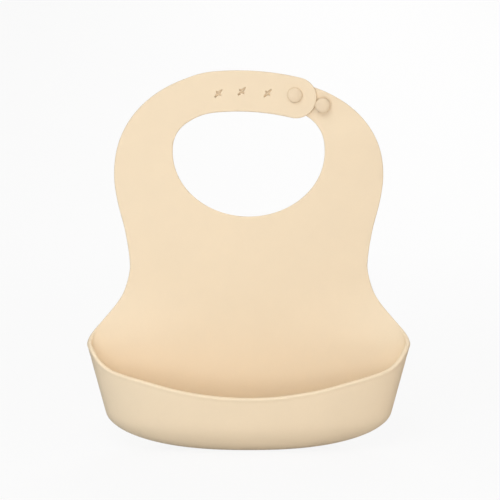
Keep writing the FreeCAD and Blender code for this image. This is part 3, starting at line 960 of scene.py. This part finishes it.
class BIB_OT_pocket(bpy.types.Operator):
    """Build the catching pocket with its rolled rim, from the waist down"""
    bl_idname = "bib.pocket"
    bl_label = "Catching Pocket"

    def execute(self, context):
        sizes = context.scene.bib_sizes
        step = sizes.mesh_step / MM
        shell = Shell(wall_place, step)
        right = resample(pocket_edge(), sizes.edge_step / MM)
        right[-1, 0] = RING_HALF
        left = right[::-1] * (-1, 1)
        thick = rim_profile(sizes.rim_radius / MM)
        plain = round_profile(sizes.edge_round / MM)
        swell = smooth((np.abs(right[:, 0]) - around(RIM_FROM)) / (around(RIM_TO) - around(RIM_FROM)))
        profile = plain + (thick - plain) * swell[:, None, None]
        # Edges run anticlockwise as seen from outside, so +X, which is on the left there, comes last
        rim_right = shell.edge(right[::-1], profile[::-1], start=(0, -1), end=(-1, 0))
        rim_left = shell.edge(left[::-1], profile, start=(1, 0), end=(0, -1))
        shell.end(rim_right[-1], rim_left[0])

        columns = 2 * round(RING_HALF / step)
        s = np.linspace(-RING_HALF, RING_HALF, columns + 1)
        sides = [np.column_stack([np.full(3, x), np.linspace(rim[k, 0, 1], PLAN_FLOOR, 5)[1:-1]])
                 for x, rim, k in ((RING_HALF, rim_right, 0), (-RING_HALF, rim_left, -1))]
        top = seam_points(rim_right[-1, 0, :2], rim_left[0, 0, :2], step, 0.0)[1:-1, :2]
        bottom = np.column_stack([s, np.full(len(s), PLAN_FLOOR)])
        border = np.vstack([rim_right[:, 0, :2], top, rim_left[:, 0, :2], sides[1], bottom, sides[0][::-1]])
        levels = np.arange(PLAN_FLOOR + step, POCKET_TOP, step)
        lattice = np.stack(np.meshgrid(s, levels), axis=-1).reshape(-1, 2)
        shell.skins(border, grid=lattice)
        wall = shell.place(np.vstack(shell.points))
        faces = list(shell.faces)

        skins = []
        for off in (HALF, -HALF):
            wall_rows = periodic(wall_middle)
            rows = [offset_surface(wall_rows, s, np.full(len(s), z), np.full(len(s), off), 0.3)
                    for z in np.linspace(PLAN_FLOOR, WALL_Z, 5)[:-1]]
            turns = np.linspace(0, math.pi / 2, 21)
            foot = periodic(bowl_middle)
            rows += [offset_surface(foot, s, np.full(len(s), t), np.full(len(s), -off), 0.004)
                     for t in turns[:-1]]
            last = bowl_middle(s, np.full(len(s), math.pi / 2)) - np.array((0, 0, off))
            centre = last.mean(axis=0)
            rows += [centre + (last - centre) * k for k in (1.0, 0.75, 0.5, 0.25, 0.0)]
            skins.append(np.array(rows))
        points, count = [wall], len(wall)
        for skin in skins:
            r, c = skin.shape[:2]
            points.append(skin.reshape(-1, 3))
            faces += [(count + i * c + j, count + i * c + j + 1, count + (i + 1) * c + j + 1,
                       count + (i + 1) * c + j) for i in range(r - 1) for j in range(c - 1)]
            count += r * c
        mesh = bpy.data.meshes.new("pocket_shell")
        mesh.from_pydata((np.vstack(points) * MM).tolist(), [], faces)
        piece = closed_piece("pocket_shell", mesh)
        finish_piece(piece, sheet_silicone(), "pocket_back", "pocket_side_left", "pocket_side_right",
                     "pocket_cheek_left", "pocket_cheek_right", "pocket_base", "pocket_floor",
                     "pocket_front", "rim_front", "rim_left", "rim_right")
        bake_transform(piece)
        return {"FINISHED"}


# ---------------------------------------------------------------- stage

def paper_material(colour, glow):
    mat = bpy.data.materials.new("Studio Paper")
    mat.use_nodes = True
    tree = mat.node_tree
    shader = tree.nodes["Principled BSDF"]
    mottle = tree.nodes.new("ShaderNodeGroup")
    mottle.node_tree = milky_mottling()
    mottle.inputs["Colour"].default_value = (*colour, 1.0)
    mottle.inputs["Strength"].default_value = 0.002
    mottle.inputs["Roughness"].default_value = 0.95
    tree.links.new(mottle.outputs["Colour"], shader.inputs["Base Color"])
    tree.links.new(mottle.outputs["Roughness"], shader.inputs["Roughness"])
    shader.inputs["Specular IOR Level"].default_value = 0.0
    # What the paper adds is seen but doesn't light the object, so the pocket keeps its soft shading
    seen, light, both = (tree.nodes.new(kind) for kind in (
        "ShaderNodeLightPath", "ShaderNodeEmission", "ShaderNodeMixShader"))
    light.inputs["Strength"].default_value = 1.045
    tree.links.new(maths(tree, "MULTIPLY", seen.outputs["Is Camera Ray"], glow), both.inputs["Fac"])
    tree.links.new(shader.outputs["BSDF"], both.inputs[1])
    tree.links.new(light.outputs["Emission"], both.inputs[2])
    tree.links.new(both.outputs["Shader"], tree.nodes["Material Output"].inputs["Surface"])
    return mat


def sweep(floor_z):
    """Floor and backdrop in one curved sheet of paper."""
    half, front, back, bend, top = 6.0, -10.0, 1.6, 0.8, 3.0
    profile = [(front, floor_z), (back - bend, floor_z)]
    for k in range(1, 17):
        a = math.radians(90 * k / 16)
        profile.append((back - bend + bend * math.sin(a), floor_z + bend * (1 - math.cos(a))))
    profile.append((back, floor_z + top))
    verts = [(x, y, z) for y, z in profile for x in (-half, half)]
    faces = [(2 * i, 2 * i + 1, 2 * i + 3, 2 * i + 2) for i in range(len(profile) - 1)]
    mesh = bpy.data.meshes.new("studio_sweep")
    mesh.from_pydata(verts, [], faces)
    mesh.polygons.foreach_set("use_smooth", [True] * len(mesh.polygons))
    piece = bpy.data.objects.new("studio_sweep", mesh)
    bpy.context.scene.collection.objects.link(piece)
    return piece


def aim(obj, target):
    obj.rotation_euler = (Vector(target) - obj.location).to_track_quat("-Z", "Y").to_euler()


def area_light(name, place, target, size, power):
    data = bpy.data.lights.new(name, "AREA")
    data.shape = "SQUARE"
    data.size = size
    data.energy = power
    light = bpy.data.objects.new(name, data)
    bpy.context.scene.collection.objects.link(light)
    light.location = place
    aim(light, target)
    return light


class BIB_OT_stage(bpy.types.Operator):
    """Set up the pale paper sweep, the soft lights and the camera"""
    bl_idname = "bib.stage"
    bl_label = "Studio Stage"

    def execute(self, context):
        scene, stage = context.scene, context.scene.bib_stage
        lo, hi = (Vector(c) for c in CAD_BOX)
        paper = sweep(lo.z)
        paper.data.materials.append(paper_material(stage.paper, stage.paper_glow))
        world = bpy.data.worlds.new("Even Fill")
        world.use_nodes = True
        fill = world.node_tree.nodes["Background"]
        fill.inputs["Color"].default_value = (1.0, 1.0, 1.0, 1.0)
        fill.inputs["Strength"].default_value = stage.sky
        scene.world = world
        target = Vector((0.00097, 0.0, -0.0715))
        area_light("Key", target + Vector((-0.35, -0.90, 1.15)), target, 0.9, stage.key_power)
        side = area_light("Side", target + Vector((1.5, -0.9, -0.05)), target, 0.9, stage.side_power)
        side.data.color = (1.0, 0.72, 0.48)
        area_light("Back", target + Vector((0.3, 1.2, 0.7)), target, 0.9, stage.back_power)
        front = area_light("Front", target + Vector((-0.08, -0.55, -0.02)), target, 0.45, stage.front_power)
        front.visible_camera = False        # it stands between the camera and the bib
        data = bpy.data.cameras.new("Camera")
        data.lens = stage.lens
        data.clip_start = 0.05
        camera = bpy.data.objects.new("Camera", data)
        scene.collection.objects.link(camera)
        rise = stage.camera_height
        camera.location = target + Vector((0, -math.cos(rise), math.sin(rise))) * stage.camera_distance
        aim(camera, target)
        scene.camera = camera
        scene.view_settings.view_transform = "Standard"
        scene.view_settings.look = "None"
        return {"FINISHED"}


# ---------------------------------------------------------------- panel, registration, run

BUILD_ORDER = (BIB_OT_chest, BIB_OT_hole_strap, BIB_OT_stud_strap, BIB_OT_studs, BIB_OT_pocket,
               BIB_OT_stage)


class BIB_PT_build(bpy.types.Panel):
    """Sizes, colours and build steps of the bib"""
    bl_idname = "BIB_PT_build"
    bl_label = "Silicone Bib"
    bl_space_type = "VIEW_3D"
    bl_region_type = "UI"
    bl_category = "Bib"

    def draw(self, context):
        for group in (context.scene.bib_sizes, context.scene.bib_finish, context.scene.bib_stage):
            column = self.layout.column(align=True)
            for name in group.__annotations__:
                column.prop(group, name)
        for step in BUILD_ORDER:
            self.layout.operator(step.bl_idname)


GROUPS = {"bib_sizes": BibSizes, "bib_finish": BibFinish, "bib_stage": BibStage}
CLASSES = (*GROUPS.values(), *BUILD_ORDER, BIB_PT_build)


def register():
    for cls in CLASSES:
        bpy.utils.register_class(cls)
    for name, group in GROUPS.items():
        setattr(bpy.types.Scene, name, PointerProperty(type=group))


def unregister():
    for name in GROUPS:
        delattr(bpy.types.Scene, name)
    for cls in reversed(CLASSES):
        bpy.utils.unregister_class(cls)


def main():
    register()
    for step in BUILD_ORDER:
        kind, name = step.bl_idname.split(".")
        getattr(getattr(bpy.ops, kind), name)()


if __name__ == "__main__":
    main()
